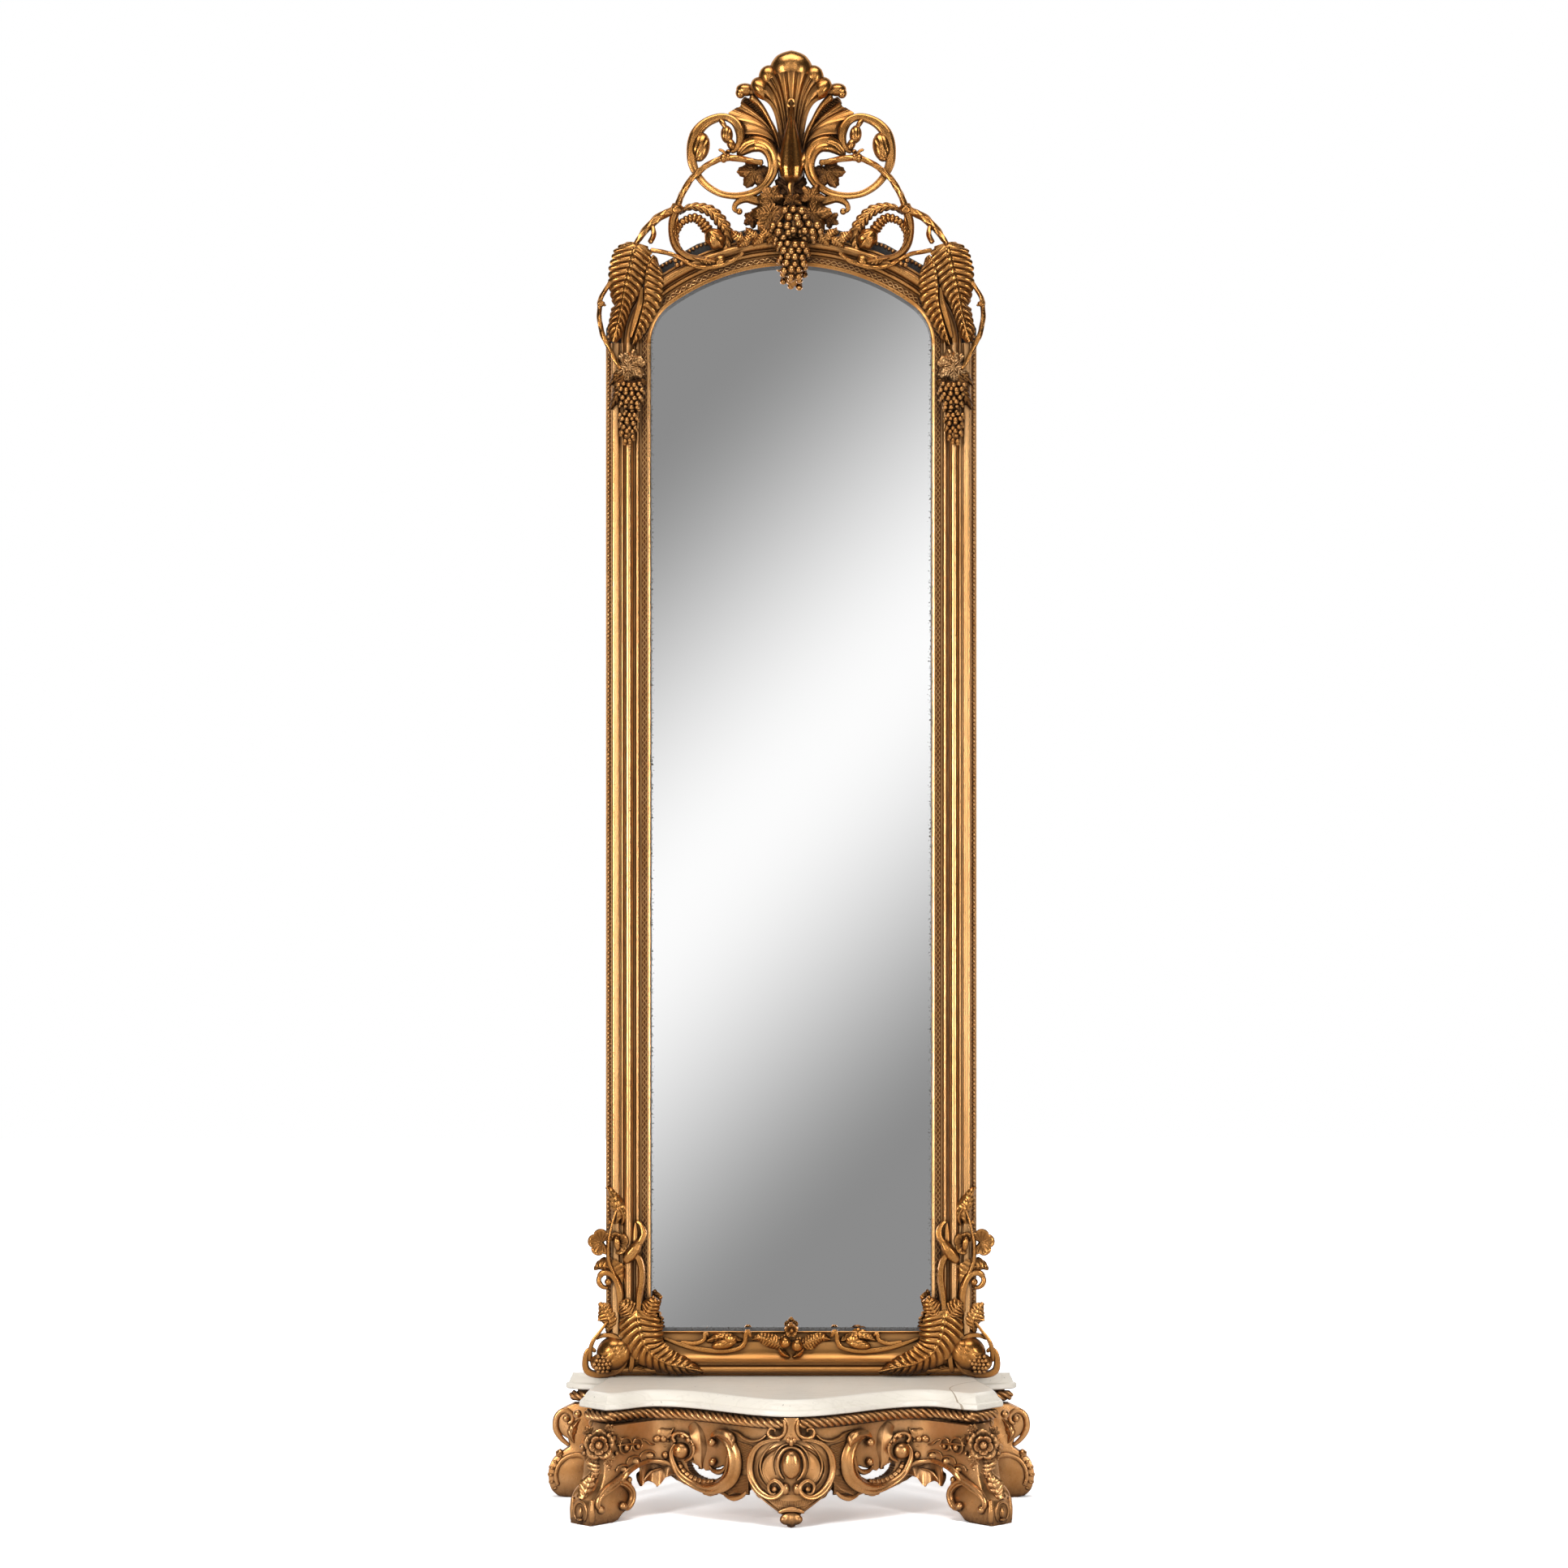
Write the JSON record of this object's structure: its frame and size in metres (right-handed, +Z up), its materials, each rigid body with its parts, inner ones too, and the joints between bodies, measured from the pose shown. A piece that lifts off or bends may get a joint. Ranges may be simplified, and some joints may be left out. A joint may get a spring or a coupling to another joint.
{
  "type": "pier mirror",
  "caption": "Tall giltwood pier mirror with an arched glass, carved vine and scroll crest, and a low carved base with a white marble top.",
  "frame": {"origin": "on the floor under the middle of the whole piece, half way between the wall and the front of the marble", "axes": "+Z up; -Y is the front, which faces the room; +Y is the back, which stands against the wall; +X is to the viewer's right"},
  "size_m": [1.0206, 0.4, 3.0107],
  "materials": {
    "carving_gilt": "antique gold leaf over red bole on carved wood, dark in the hollows",
    "moulding_gilt": "burnished antique gold leaf over red bole",
    "base_gilt": "antique bronze-gold on carved wood",
    "ochre_gilt": "flat ochre gilding",
    "black_pine": "black paint on pine",
    "bare_pine": "old bare pine",
    "iron": "dull black iron",
    "white_marble": "polished white marble with faint veins",
    "mirror_glass": "silvered plate glass"
  },
  "bodies": {
    "root": {"mirror_glass": "mirror_glass", "backboards": "bare_pine", "glass_blocks": "bare_pine", "carcass_stile_left": "black_pine", "carcass_stile_right": "black_pine", "carcass_bottom_rail": "black_pine", "arch_segment_left": "black_pine", "arch_segment_center": "black_pine", "arch_segment_right": "black_pine", "moulding_left": "moulding_gilt", "moulding_right": "moulding_gilt", "moulding_arch": "moulding_gilt", "moulding_bottom": "moulding_gilt", "pearl_string_left": "moulding_gilt", "pearl_string_right": "moulding_gilt", "pearl_string_arch": "moulding_gilt", "ribbon_strip_left": "moulding_gilt", "ribbon_strip_right": "moulding_gilt", "ribbon_strip_arch": "moulding_gilt", "crest_palmette": "carving_gilt", "crest_boss": "carving_gilt", "crest_fan_left": "carving_gilt", "crest_fan_right": "carving_gilt", "crest_scroll_left": "carving_gilt", "crest_scroll_right": "carving_gilt", "crest_vine_left": "carving_gilt", "crest_vine_right": "carving_gilt", "crest_acanthus_left": "carving_gilt", "crest_acanthus_right": "carving_gilt", "crest_batten": "black_pine", "vine_leaves": "carving_gilt", "grape_cluster": "carving_gilt", "arch_garland": "carving_gilt", "shoulder_leaf_left": "carving_gilt", "shoulder_leaf_right": "carving_gilt", "grape_pendant_left": "carving_gilt", "grape_pendant_right": "carving_gilt", "side_spray_left": "carving_gilt", "side_spray_right": "carving_gilt", "corner_leaf_left": "carving_gilt", "corner_leaf_right": "carving_gilt", "corner_fruit_left": "carving_gilt", "corner_fruit_right": "carving_gilt", "rail_ornament": "carving_gilt", "hanger_plates": "iron", "marble_top": "white_marble", "subtop": "bare_pine", "apron_front": "ochre_gilt", "apron_side_left": "ochre_gilt", "apron_side_right": "ochre_gilt", "rope_left": "base_gilt", "rope_right": "base_gilt", "apron_scroll_left": "base_gilt", "apron_scroll_right": "base_gilt", "cartouche": "base_gilt", "front_leg_left": "base_gilt", "front_leg_right": "base_gilt", "back_leg_left": "base_gilt", "back_leg_right": "base_gilt", "rose_sprays": "base_gilt"}
  },
  "joints": []
}
